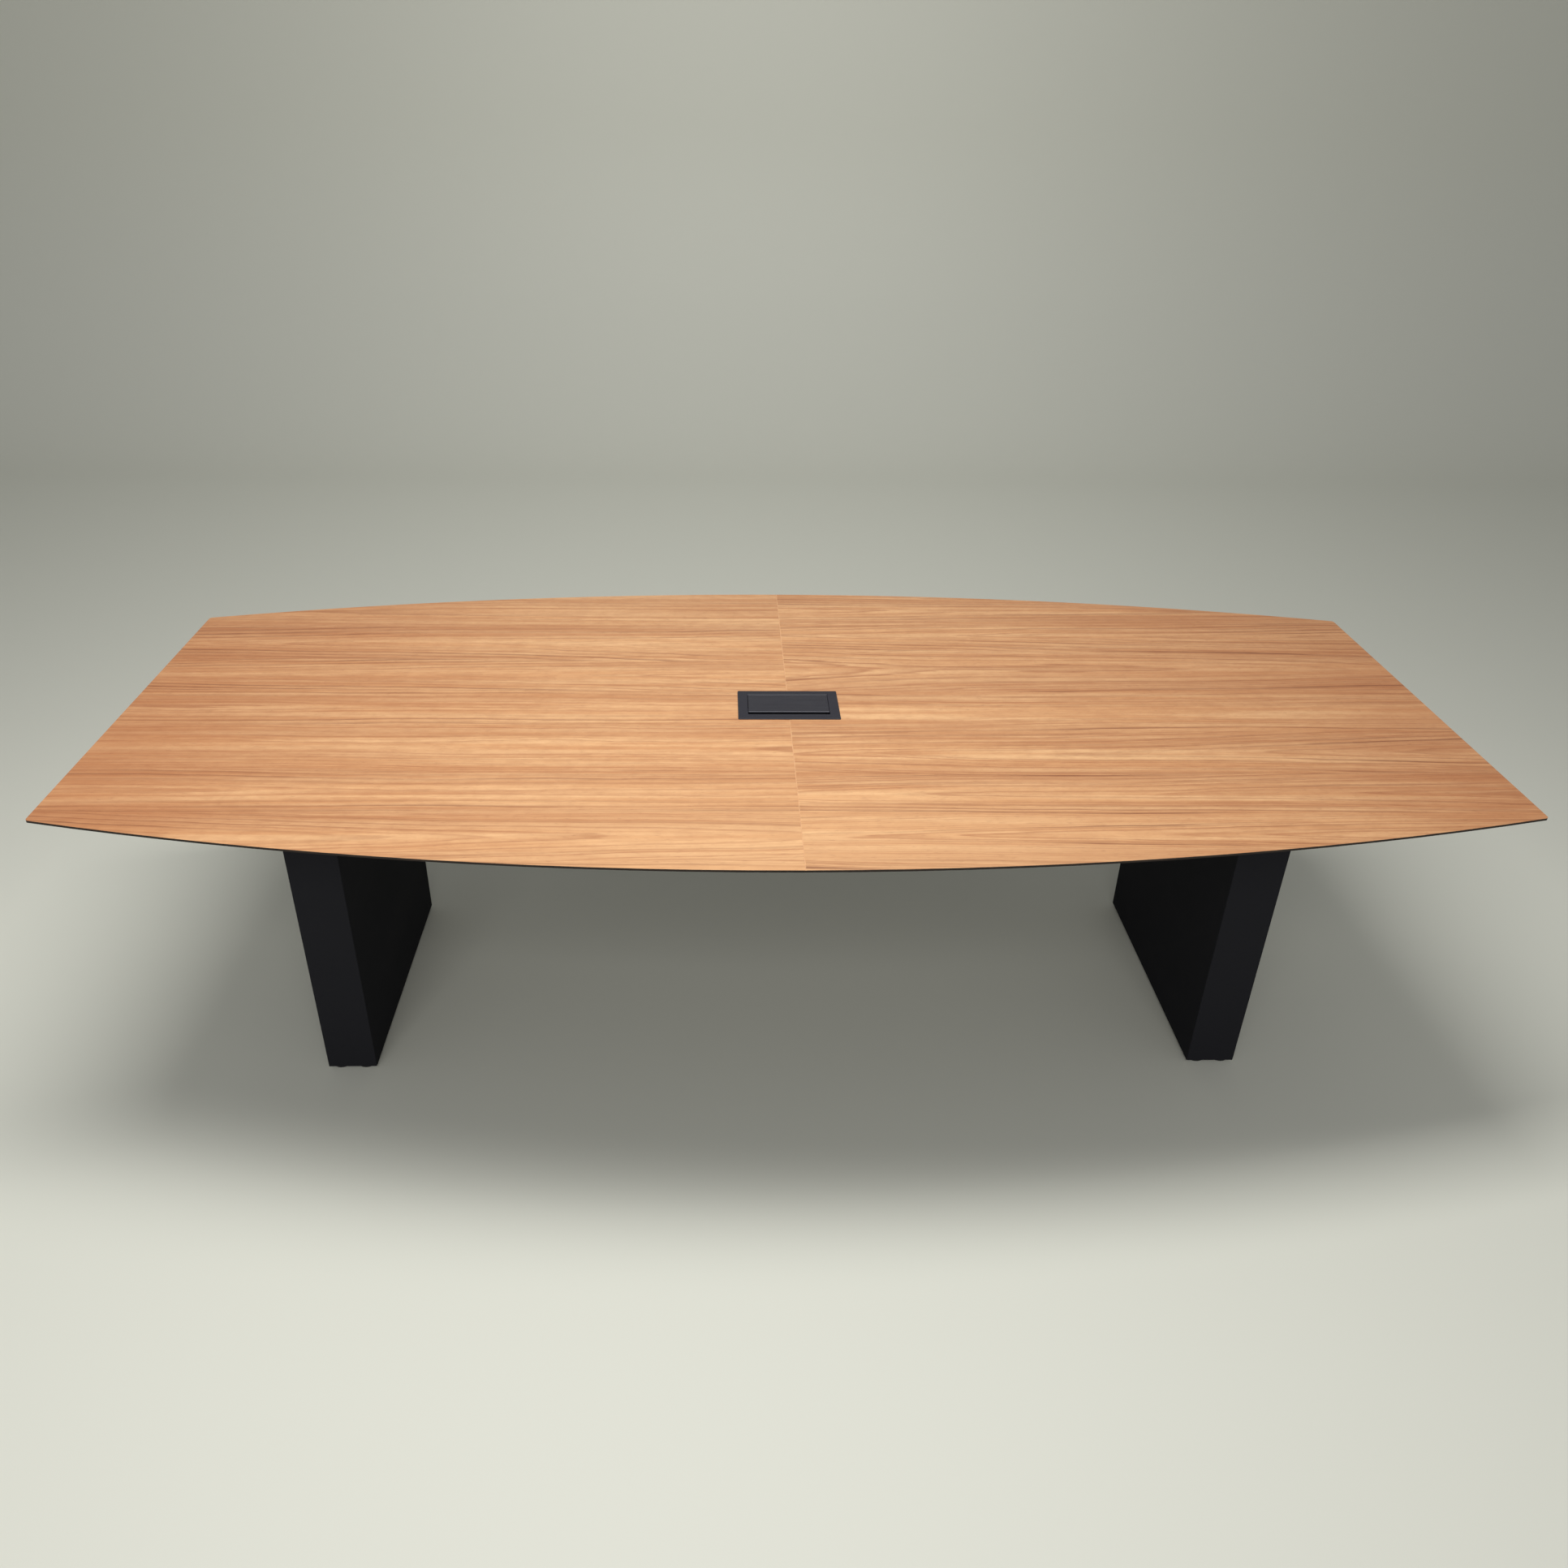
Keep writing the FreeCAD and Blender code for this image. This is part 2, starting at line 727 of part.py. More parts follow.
def gland_hole():
    """The round hole in the housing's rear wall for the cord gland."""
    radius = gland_thread_radius + thread_clearance
    base = V(gland_x, housing_back_y - overrun, gland_z)
    return rod(radius, housing_wall + 2 * overrun, base, BACK)


def deck_screw_places():
    """Where the deck's flanges are screwed to the housing: on its outer faces, with the way they point."""
    z = deck_z - deck_wall - deck_flange / 2
    xs = [side * deck_screw_share * housing_x for side in SIDES.values()]
    front = [(V(x, housing_front_y - housing_wall, z), BACK) for x in xs]
    rear = [(V(x, housing_back_y + housing_wall, z), BACK * -1) for x in xs]
    return front + rear


def deck_screw(place, inward, play):
    """A small screw, or with some play its hole, through the housing's wall into the deck's flange."""
    return rod(deck_screw_radius + play, deck_screw_length, place, inward)


def make_housing():
    """The folded housing: front wall, floor and rear wall in one piece, closed by two end caps."""
    front = housing_front_y - housing_wall
    back = housing_back_y + housing_wall
    top = table_height - housing_top_gap
    outside = block(-housing_x, housing_x, front, back, floor_z, top)
    hollow_z = floor_z + housing_wall
    inside = block(-cap_x, cap_x, housing_front_y, housing_back_y, hollow_z, top + overrun)
    holes = [deck_screw(place, inward, thread_clearance) for place, inward in deck_screw_places()]
    save("housing_shell", outside.cut([inside, gland_hole()] + holes))
    for name, side in SIDES.items():
        x0, x1 = sorted((side * housing_x, side * cap_x))
        cap = block(x0, x1, front, back, floor_z, top)
        save("housing_cap_" + name, cap.cut(clamp_screw_hole(side)))


def clamp_screw_hole(side):
    """The hole for a clamp's screw through the bracket and the end cap."""
    base = V(side * (housing_x - overrun), deck_y, under_z - clamp_screw_drop)
    length = housing_wall + clamp_wall + 2 * overrun
    return rod(clamp_screw_radius + thread_clearance, length, base, RIGHT * side)


def make_clamps():
    """Brackets that grip the underside of the top beside the housing, and their screws."""
    brackets = []
    screws = []
    for side in SIDES.values():
        y0 = deck_y - clamp_width / 2
        y1 = deck_y + clamp_width / 2
        foot_x0, foot_x1 = sorted((side * cap_x, side * (cap_x + clamp_foot)))
        leg_x0, leg_x1 = sorted((side * cap_x, side * (cap_x + clamp_wall)))
        foot = block(foot_x0, foot_x1, y0, y1, under_z - clamp_wall, under_z)
        leg = block(leg_x0, leg_x1, y0, y1, under_z - clamp_wall - clamp_drop, under_z)
        brackets.append(foot.fuse(leg).removeSplitter().cut(clamp_screw_hole(side)))
        reach = housing_wall + clamp_wall
        profile = [
            (0, 0),
            (clamp_screw_radius, 0),
            (clamp_screw_radius, reach),
            (clamp_screw_head_radius, reach),
            (clamp_screw_head_radius, reach + clamp_screw_head_height),
            (0, reach + clamp_screw_head_height),
        ]
        base = V(side * housing_x, deck_y, under_z - clamp_screw_drop)
        screws.append(turned(profile, base, RIGHT * side))
    save("clamp_brackets", *brackets)
    save("clamp_screws", *screws)


def module_rows():
    """The modules from left to right: name, middle and width of the face."""
    narrow = (module_size - module_gap) / 2
    wide_x = module_size + module_gap
    narrow_x = (narrow + module_gap) / 2
    return [
        ("outlet_left", -wide_x, module_size),
        ("charge_module", -narrow_x, narrow),
        ("data_module", narrow_x, narrow),
        ("outlet_right", wide_x, module_size),
    ]


def module_body(x, width, play):
    """The part of a module that goes through the deck, or with some play its opening."""
    half_x = width / 2 - module_lip + play
    half_y = module_size / 2 - module_lip + play
    return block(x - half_x, x + half_x, deck_y - half_y, deck_y + half_y, deck_z - module_body_depth, deck_z)


def port(x, y, width, length, depth):
    """A straight-sided recess in a module's face."""
    top = deck_z + module_face
    return block(x - width / 2, x + width / 2, y - length / 2, y + length / 2, top - depth, top + overrun)


def outlet_recesses(x):
    """Two blade slots and a round earth hole."""
    y = deck_y + outlet_slot_rise
    cuts = []
    for side in SIDES.values():
        slot_x = x + side * outlet_slot_spacing / 2
        cuts.append(port(slot_x, y, outlet_slot_width, outlet_slot_length, outlet_slot_depth))
    bottom = V(x, y - outlet_slot_rise - outlet_earth_offset, deck_z + module_face - outlet_slot_depth)
    cuts.append(rod(outlet_earth_radius, outlet_slot_depth + overrun, bottom, UP))
    return cuts


def charge_recesses(x):
    """Two charging ports, each with its contact tongue left standing."""
    cuts = []
    for row in (-1, 1):
        y = deck_y + row * charge_port_spacing / 2
        recess = port(x, y, charge_port_width, charge_port_height, charge_port_depth)
        tongue = port(x, y, charge_tongue_width, charge_tongue_height, charge_port_depth)
        tongue.translate(DOWN * (overrun + charge_tongue_height))
        cuts.append(recess.cut(tongue))
    return cuts


def data_recesses(x):
    """Two network sockets."""
    ys = [deck_y + row * data_port_spacing / 2 for row in (-1, 1)]
    return [port(x, y, data_port_width, data_port_height, data_port_depth) for y in ys]


def make_deck():
    """The socket deck with folded flanges, its screws, and the modules that sit in it."""
    x = housing_x - deck_clearance
    front = housing_front_y + deck_clearance
    back = housing_back_y - deck_clearance
    bottom = deck_z - deck_wall - deck_flange
    outside = block(-x, x, front, back, bottom, deck_z)
    hollow = block(-x, x, front + deck_wall, back - deck_wall, bottom, deck_z - deck_wall)
    openings = [module_body(middle, width, module_clearance) for name, middle, width in module_rows()]
    places = deck_screw_places()
    holes = [deck_screw(place, inward, thread_clearance) for place, inward in places]
    save("socket_deck", outside.cut([hollow] + openings + holes))
    screws = []
    for place, inward in places:
        head = rod(deck_screw_head_radius, deck_screw_head_height, place, inward * -1)
        screws.append(deck_screw(place, inward, 0).fuse(head).removeSplitter())
    save("deck_screws", *screws)
    recesses = {"charge_module": charge_recesses, "data_module": data_recesses}
    for name, middle, width in module_rows():
        half = width / 2
        half_y = module_size / 2
        face_z = deck_z + module_face
        face = block(middle - half, middle + half, deck_y - half_y, deck_y + half_y, deck_z, face_z)
        face = face.makeChamfer(module_face_edge, edges_at(face, face_z))
        whole = face.fuse(module_body(middle, width, 0)).removeSplitter()
        save(name, whole.cut(recesses.get(name, outlet_recesses)(middle)))


def make_gland():
    """The cord gland in the rear wall: a bored body, a lock nut inside and a dome nut outside."""
    wall_y = housing_back_y + housing_wall
    inner_y = housing_back_y - gland_inner_reach
    outer_y = wall_y + gland_flange + gland_outer_reach
    start = V(gland_x, inner_y, gland_z)
    thread = rod(gland_thread_radius, outer_y - inner_y, start, BACK)
    flange = hexagon(gland_flats, gland_flange, V(gland_x, wall_y, gland_z), BACK)
    bore = rod(gland_bore_radius, outer_y - inner_y, start, BACK)
    save("gland_body", thread.fuse(flange).removeSplitter().cut(bore))
    seat = V(gland_x, housing_back_y, gland_z)
    nut = hexagon(gland_nut_flats, gland_nut_length, seat, BACK * -1)
    thread_hole = rod(gland_thread_radius + thread_clearance, gland_nut_length, seat, BACK * -1)
    save("gland_lock_nut", nut.cut(thread_hole))
    inside = gland_thread_radius + thread_clearance
    mouth = gland_bore_radius + gland_bore_play
    reach = gland_outer_reach + thread_clearance
    profile = [
        (inside, 0),
        (gland_dome_radius, 0),
        (gland_dome_radius, gland_outer_reach),
        (gland_dome_end_radius, reach + gland_dome_end),
        (mouth, reach + gland_dome_end),
        (mouth, reach),
        (inside, reach),
    ]
    save("gland_dome_nut", turned(profile, V(gland_x, wall_y + gland_flange, gland_z), BACK))


os.makedirs("parts", exist_ok=True)
make_top()
make_seam_hardware()
make_stiffeners()
for leg_name, leg_side in SIDES.items():
    make_leg(leg_name, leg_side)
    make_leg_plate(leg_name, leg_side)
make_plate_fasteners()
make_glides()
make_bezel()
make_lid()
make_strip()
make_housing()
make_clamps()
make_deck()
make_gland()
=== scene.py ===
# %% [markdown]
# A boat-shaped meeting table.
# The table stands on two black slab legs, its wood-grain top comes in two halves, and a small
# power box with a flip-up lid sits in the seam between them. The construction is loaded as a frame
# that stays where it is, in metres, and this lesson gives every piece its surface, then lights
# and photographs the whole.

# %% Load the frame
import bpy
import json
from math import cos, pi, radians, sin
from mathutils import Matrix, Vector


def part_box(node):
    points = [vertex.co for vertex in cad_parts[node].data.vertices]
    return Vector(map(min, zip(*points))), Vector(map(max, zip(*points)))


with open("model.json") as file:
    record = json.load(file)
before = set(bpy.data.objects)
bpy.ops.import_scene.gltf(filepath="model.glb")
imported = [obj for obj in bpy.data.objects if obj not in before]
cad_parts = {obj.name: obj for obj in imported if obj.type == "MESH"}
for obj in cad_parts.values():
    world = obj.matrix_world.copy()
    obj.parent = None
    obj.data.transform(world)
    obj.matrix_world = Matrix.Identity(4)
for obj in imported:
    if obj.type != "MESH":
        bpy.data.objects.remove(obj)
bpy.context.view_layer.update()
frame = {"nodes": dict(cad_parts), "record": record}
nodes = frame["nodes"]
print("pieces in the frame:", len(nodes))

# %% [markdown]
# Small tools for surfaces.
# A Blender material is a tree of nodes. Each finish below is built from the same few steps, such as
# a stretched noise, a product or a blend of two colours, so these steps get short names first. Colours
# are written as a person reads them off a colour chart, from 0 to 255, and turned into the linear
# values that the shader works with.

# %% Tools for building a material
def chart(red, green, blue):
    """A colour from a chart, as the linear value with alpha that a shader socket takes."""
    shares = [value / 255 for value in (red, green, blue)]
    linear = [s / 12.92 if s <= 0.04045 else ((s + 0.055) / 1.055) ** 2.4 for s in shares]
    return (*linear, 1.0)


def step(tree, kind, inputs, **settings):
    """Adds one node: inputs are values or links, settings are the node's own options."""
    made = tree.nodes.new("ShaderNode" + kind)
    for name, value in settings.items():
        setattr(made, name, value)
    for name, value in inputs.items():
        if isinstance(value, bpy.types.NodeSocket):
            tree.links.new(value, made.inputs[name])
        else:
            made.inputs[name].default_value = value
    return made


def spot(tree, stretch, shift=(0, 0, 0)):
    """The place on the object, multiplied by a stretch and moved by a shift."""
    here = step(tree, "TexCoord", {}).outputs["Object"]
    return step(tree, "Mapping", {"Vector": here, "Scale": stretch, "Location": shift}).outputs["Vector"]


def cloud(tree, stretch, shift=(0, 0, 0), detail=2.0, rough=0.5):
    """Soft random values, mostly 0.3 to 0.7: a large stretch along an axis makes small features there."""
    inputs = {"Vector": spot(tree, stretch, shift), "Scale": 1.0, "Detail": detail, "Roughness": rough}
    return step(tree, "TexNoise", inputs).outputs["Fac"]


def sum_of(tree, operation, first, second=0.0):
    """One piece of arithmetic between two values."""
    return step(tree, "Math", {0: first, 1: second}, operation=operation).outputs["Value"]


def times(tree, first, second):
    """The product of two values."""
    return sum_of(tree, "MULTIPLY", first, second)


def span(tree, value, low, high, to_low=0.0, to_high=1.0):
    """Stretches the span between low and high, and holds it still outside."""
    inputs = {"Value": value, "From Min": low, "From Max": high, "To Min": to_low, "To Max": to_high}
    return step(tree, "MapRange", inputs, interpolation_type="SMOOTHSTEP").outputs["Result"]


def mixed(tree, share, first, second):
    """A colour between two colours; a Mix node repeats its sockets' names, so they go by number."""
    made = step(tree, "Mix", {}, data_type="RGBA")
    for socket, value in ((made.inputs[0], share), (made.inputs[6], first), (made.inputs[7], second)):
        if isinstance(value, bpy.types.NodeSocket):
            tree.links.new(value, socket)
        else:
            socket.default_value = value
    return made.outputs[2]


def bumps(tree, height, depth, strength=1.0):
    """Turns a height into a slight tilt of the surface; depth is in metres."""
    inputs = {"Height": height, "Distance": depth, "Strength": strength}
    return step(tree, "Bump", inputs).outputs["Normal"]


def new_finish(name, **sockets):
    """A new material with its main shader; the sockets given are the same all over the surface."""
    material = bpy.data.materials.new(name)
    material.use_nodes = True
    tree = material.node_tree
    shader = tree.nodes["Principled BSDF"]
    for socket, value in sockets.items():
        shader.inputs[socket.replace("_", " ")].default_value = value
    return material, tree, shader


def join(tree, shader, **sockets):
    """Links values that vary over the surface to the main shader."""
    for socket, value in sockets.items():
        tree.links.new(value, shader.inputs[socket.replace("_", " ")])


def normal_parts(tree):
    """The three parts of the direction that the bare surface faces."""
    facing = step(tree, "NewGeometry", {}).outputs["True Normal"]
    return step(tree, "SeparateXYZ", {"Vector": facing}).outputs


def place_parts(tree):
    """The three parts of the place on the object, in metres."""
    here = step(tree, "TexCoord", {}).outputs["Object"]
    return step(tree, "SeparateXYZ", {"Vector": here}).outputs


print("tools ready")

# %% [markdown]
# The rings of the wood.
# The top is faced with a printed laminate that copies sliced walnut: leaves of a hand's span lie
# side by side, and each was cut from a trunk past its heart. In the middle of a leaf the cut runs
# almost along the growth rings, so they open into flames and eyes, and towards its sides they become
# tight straight lines. That is geometry, so it is drawn as geometry: the distance from the heart,
# counted in rings, with slow clouds that bend the count. The whole part of the count numbers the
# ring, so every ring gets its own strength. The fraction draws its line, which darkens slowly through
# the ring and pales soon after its peak. The two halves have their own shifts, so the lines don't meet
# at the seam.

# %% Rings of a sliced leaf
# Sizes in metres
LEAF_WIDTH = 0.17
LEAF_WANDER = 0.16
LINE_WANDER = 0.03
LINE_TREMBLE = 0.012
HEART_NEAR = 0.012
HEART_FAR = 0.034
# Numbers of rings
RINGS_PER_METRE = 64.0
FINE_RINGS = 2.1
SLOW_RINGS = 3.2
RAGGED_RINGS = 0.55
TAPER_RINGS = 3.0
LEAF_RINGS = 40.0
# Shape and strength of a ring's line
LINE_PEAK = 0.78
STRENGTH_POWER = 1.3
# Stretches of the clouds along, across and through the sheet
BEND_STRETCH = (1.1, 5.0, 1.0)
TREMBLE_STRETCH = (4.0, 22.0, 1.0)
WANDER_STRETCH = (0.12, 1.8, 1.0)
SLOW_STRETCH = (0.9, 3.0, 1.0)
RAGGED_STRETCH = (5.0, 90.0, 1.0)


def lucky(tree, number, seed):
    """A random value from 0 to 1 that belongs to a whole number."""
    inputs = {"W": sum_of(tree, "ADD", number, seed)}
    return step(tree, "TexWhiteNoise", inputs, noise_dimensions="1D").outputs["Value"]


def bent_across(tree, shift):
    """The place across the table, bent a little as the trunk was."""
    far, side, deep = shift
    across = sum_of(tree, "ADD", place_parts(tree)["Y"], side)
    bend = times(tree, cloud(tree, BEND_STRETCH, (far, side, deep), 1.0), LINE_WANDER)
    tremble = times(tree, cloud(tree, TREMBLE_STRETCH, (side, far, deep), 2.0), LINE_TREMBLE)
    return sum_of(tree, "ADD", sum_of(tree, "ADD", across, bend), tremble)


def leaf_parts(tree, across, shift):
    """The number of the leaf, and how far a point lies from the leaf's middle, in metres."""
    far, side, _ = shift
    wander = times(tree, cloud(tree, WANDER_STRETCH, (side, side, far), 0.0), LEAF_WANDER)
    leaves = sum_of(tree, "DIVIDE", sum_of(tree, "ADD", across, wander), LEAF_WIDTH)
    from_middle = sum_of(tree, "SUBTRACT", sum_of(tree, "FRACT", leaves), 0.5)
    return sum_of(tree, "FLOOR", leaves), times(tree, from_middle, LEAF_WIDTH)


def ring_count(tree, leaf, from_middle, shift):
    """The distance from the heart of the trunk, counted in rings."""
    far, side, deep = shift
    luck = lucky(tree, leaf, far)
    heart = span(tree, luck, 0.0, 1.0, HEART_NEAR, HEART_FAR)
    squares = sum_of(tree, "ADD", times(tree, heart, heart), times(tree, from_middle, from_middle))
    rings = times(tree, sum_of(tree, "SQRT", squares), RINGS_PER_METRE)
    slow = times(tree, cloud(tree, SLOW_STRETCH, (deep, side, far), 1.0), SLOW_RINGS)
    ragged = times(tree, cloud(tree, RAGGED_STRETCH, (far, side, side), 3.0, 0.6), RAGGED_RINGS)
    taper = span(tree, luck, 0.0, 1.0, -TAPER_RINGS, TAPER_RINGS)
    taper = times(tree, place_parts(tree)["X"], taper)
    rings = sum_of(tree, "ADD", sum_of(tree, "ADD", rings, slow), sum_of(tree, "ADD", ragged, taper))
    return sum_of(tree, "ADD", rings, times(tree, luck, LEAF_RINGS))


def ring_lines(tree, count, seed, narrow):
    """Dark lines at the ends of numbered rings, each ring with a strength of its own."""
    own = sum_of(tree, "POWER", lucky(tree, sum_of(tree, "FLOOR", count), seed), STRENGTH_POWER)
    share = sum_of(tree, "FRACT", count)
    rise = sum_of(tree, "POWER", share, narrow)
    fall = span(tree, share, LINE_PEAK, 1.0, 1.0, 0.0)
    return times(tree, times(tree, rise, fall), own)


print("leaf width, mm:", LEAF_WIDTH * 1000)

# %% [markdown]
# Colour between the lines.
# The wood is pale in long streaks and warmer between them, with redder bands, a fine mottle and
# a tint towards the sides of each leaf. Each is a cloud stretched along the table. The photographed top
# is palest in the middle of its front, where light shines off it, and darker and redder towards its ends,
# where less light falls, so two broad masks paint that in: painted sheen on the middle of the front and
# painted shade on the ends. They are made from the place on the table and lie under the lines, which stay
# crisp.

# %% Plain wood
PALE_WOOD = chart(226, 181, 132)
WARM_WOOD = chart(204, 151, 104)
RED_WOOD = chart(152, 92, 57)
# A darker, redder brown that paints shade on the ends of the top
END_SHADE_RUSSET = chart(166, 96, 54)
# Stretches of the clouds, and the values between which each one sets in
STREAK_STRETCH = (1.6, 55.0, 1.0)
STREAK_RISE = (0.33, 0.67)
BAND_STRETCH = (0.4, 13.0, 1.0)
BAND_RISE = (0.4, 0.66)
MOTTLE_STRETCH = (24.0, 60.0, 1.0)
MOTTLE_RISE = (0.3, 0.7)
# How much of its colour each one brings
STREAK_SHARE = 0.85
BAND_SHARE = 0.26
MOTTLE_SHARE = 0.22
SIDE_SHARE = 0.12
# The shares of the painted sheen at the front and of the painted shade at the ends
FRONT_SHEEN_SHARE = 0.4
END_SHADE_SHARE = 0.34
# Where the painted sheen and the painted shade set in, in metres from the seam or from the middle line of
# the table
SHEEN_MIDDLE_REACH = (0.2, 0.9)
SHEEN_FRONT_REACH = (-0.65, -0.2)
SHADE_END_REACH = (0.3, 1.2)
SHADE_REAR_REACH = (-0.3, 0.45)
SHADE_TIP_REACH = (0.85, 1.35)
END_SHADE_AT_FRONT = 0.3
END_SHADE_AT_TIP = 1.1


def plain_wood(tree, sides, shift):
    """The colour between the lines: pale streaks, red bands, mottle and warmer sides of a leaf."""
    far, side, deep = shift
    streaks = cloud(tree, STREAK_STRETCH, (deep, deep, far), 3.0, 0.55)
    bands = span(tree, cloud(tree, BAND_STRETCH, (side, deep, far), 3.0), *BAND_RISE)
    mottle = cloud(tree, MOTTLE_STRETCH, (side, far, deep), 3.0, 0.65)
    ground = mixed(tree, span(tree, streaks, *STREAK_RISE, 0.0, STREAK_SHARE), WARM_WOOD, PALE_WOOD)
    ground = mixed(tree, times(tree, bands, BAND_SHARE), ground, RED_WOOD)
    ground = mixed(tree, span(tree, mottle, *MOTTLE_RISE, 0.0, MOTTLE_SHARE), ground, RED_WOOD)
    return mixed(tree, times(tree, sides, SIDE_SHARE), ground, RED_WOOD)


def painted_sheen_and_end_shade(tree, ground):
    """Painted sheen that pales the middle of the front, and painted shade that darkens and reddens the
    ends, strongest at the rear and the tips.
    """
    place = place_parts(tree)
    from_seam = sum_of(tree, "ABSOLUTE", place["X"])
    sheen_to_front = span(tree, place["Y"], *SHEEN_FRONT_REACH, FRONT_SHEEN_SHARE, 0.0)
    sheen_to_middle = span(tree, from_seam, *SHEEN_MIDDLE_REACH, 1.0, 0.0)
    # Painted sheen: the middle of the front is mixed towards pale wood
    ground = mixed(tree, times(tree, sheen_to_front, sheen_to_middle), ground, PALE_WOOD)
    # Painted shade: the ends are mixed towards a darker, redder brown, most at the rear and the tips
    shade_to_end = span(tree, from_seam, *SHADE_END_REACH)
    shade_to_rear = span(tree, place["Y"], *SHADE_REAR_REACH, END_SHADE_AT_FRONT, 1.0)
    shade_to_tip = span(tree, from_seam, *SHADE_TIP_REACH, 0.0, END_SHADE_AT_TIP)
    end_shade = sum_of(tree, "MAXIMUM", times(tree, shade_to_end, shade_to_rear), shade_to_tip)
    return mixed(tree, times(tree, end_shade, END_SHADE_SHARE), ground, END_SHADE_RUSSET)


print("wood colours ready")

# %% [markdown]
# Lines, fibres, pores and edges.
# Fine red lines and broad dark lines are drawn from the ring count, and the broad ones fade in and out
# along the table. Fibres and pores lie over them. A satin lacquer covers all of it, so the roughness
# hardly changes, and the pores are only just felt. The sheet's cut edge is dark, and the eased seam
# between the halves catches the light as a thin, broken pale line.

# %% Wood-grain laminate
DARK_WOOD = chart(110, 58, 35)
CUT_EDGE = chart(40, 33, 29)
SEAM_LINE = chart(218, 176, 134)
# How far the sides of a leaf and the seam reach, in metres
LEAF_SIDE = (0.01, 0.075)
SEAM_REACH = 0.0007
SEAM_BLUR = 1.3
# How narrow the lines are, and how strong
BROAD_NARROW = 3.5
FINE_NARROW = 2.0
FINE_SHARE = 0.95
BROAD_IN_MIDDLE = 0.5
BROAD_AT_SIDES = 1.7
SIDES_FULL = 0.4
# Stretches of the clouds, the values between which each one sets in, and its share
FADING_STRETCH = (1.3, 40.0, 1.0)
FADING_RISE = (0.3, 0.58)
FIBRE_STRETCH = (9.0, 620.0, 1.0)
FIBRE_RISE = (0.4, 0.8)
FIBRE_SHARE = 0.24
PORE_STRETCH = (55.0, 620.0, 1.0)
PORE_RISE = (0.6, 0.76)
PORE_SHARE = 0.3
BREAK_STRETCH = (1.0, 30.0, 1.0)
BREAK_RISE = (0.35, 0.6)
SEAM_SHARES = (0.5, 0.95)
# The lacquer: shine, roughness between the fibres, more roughness in a pore, depth of a pore in metres
LACQUER_SHINE = 0.4
LACQUER_GLOSS = (0.36, 0.46)
PORE_GLOSS = 0.1
PORE_DEPTH = 0.00006


def drawn_rings(tree, ground, count, sides, shift, bold):
    """Fine red lines and broad dark lines over the plain wood; bold is the strength of the broad ones."""
    far, side, deep = shift
    fine = ring_lines(tree, times(tree, count, FINE_RINGS), side, FINE_NARROW)
    ground = mixed(tree, times(tree, fine, FINE_SHARE), ground, RED_WOOD)
    broad = ring_lines(tree, count, far, BROAD_NARROW)
    broad = times(tree, broad, span(tree, sides, 0.0, SIDES_FULL, BROAD_IN_MIDDLE, BROAD_AT_SIDES))
    fading = cloud(tree, FADING_STRETCH, (deep, side, far), 3.0)
    fading = span(tree, fading, *FADING_RISE, 0.0, bold)
    return mixed(tree, times(tree, broad, fading), ground, DARK_WOOD)


def seam_and_edge(tree, ground, shift):
    """The pale broken line of the eased seam, and the dark cut edge of the sheet."""
    far, side, deep = shift
    from_seam = sum_of(tree, "ABSOLUTE", place_parts(tree)["X"])
    is_seam = span(tree, from_seam, SEAM_REACH, SEAM_REACH * SEAM_BLUR, 1.0, 0.0)
    broken = cloud(tree, BREAK_STRETCH, (side, deep, far), 3.0)
    broken = span(tree, broken, *BREAK_RISE, *SEAM_SHARES)
    ground = mixed(tree, times(tree, is_seam, broken), ground, SEAM_LINE)
    is_cut = span(tree, normal_parts(tree)["Z"], 0.2, 0.4, 1.0, 0.0)
    return mixed(tree, is_cut, ground, CUT_EDGE)


def wood_laminate(name, shift, bold):
    """Printed wood grain along X, with the cut edge of the sheet and the pale eased seam."""
    material, tree, shader = new_finish(name, Specular_IOR_Level=LACQUER_SHINE)
    far, side, deep = shift
    leaf, from_middle = leaf_parts(tree, bent_across(tree, shift), shift)
    count = ring_count(tree, leaf, from_middle, shift)
    sides = span(tree, sum_of(tree, "ABSOLUTE", from_middle), *LEAF_SIDE)
    # Painted sheen on the middle of the front and painted shade on the ends of the top
    ground = painted_sheen_and_end_shade(tree, plain_wood(tree, sides, shift))
    ground = drawn_rings(tree, ground, count, sides, shift, bold)
    fibre = cloud(tree, FIBRE_STRETCH, (far, deep, side), 2.0, 0.6)
    pores = span(tree, cloud(tree, PORE_STRETCH, (deep, far, side), 1.0), *PORE_RISE)
    ground = mixed(tree, span(tree, fibre, *FIBRE_RISE, 0.0, FIBRE_SHARE), ground, RED_WOOD)
    ground = mixed(tree, times(tree, pores, PORE_SHARE), ground, DARK_WOOD)
    ground = seam_and_edge(tree, ground, shift)
    gloss = span(tree, fibre, 0.2, 0.9, *LACQUER_GLOSS)
    gloss = sum_of(tree, "ADD", gloss, times(tree, pores, PORE_GLOSS))
    relief = bumps(tree, sum_of(tree, "SUBTRACT", fibre, pores), PORE_DEPTH, 0.5)
    join(tree, shader, Base_Color=ground, Roughness=gloss, Normal=relief)
    return material


laminate_finishes = {
    "top_laminate_left": wood_laminate("wood_laminate_left", (3.1, 7.3, 0.4), bold=0.85),
    "top_laminate_right": wood_laminate("wood_laminate_right", (11.6, 2.2, 5.8), bold=1.1),
}
print("laminate finishes:", list(laminate_finishes))

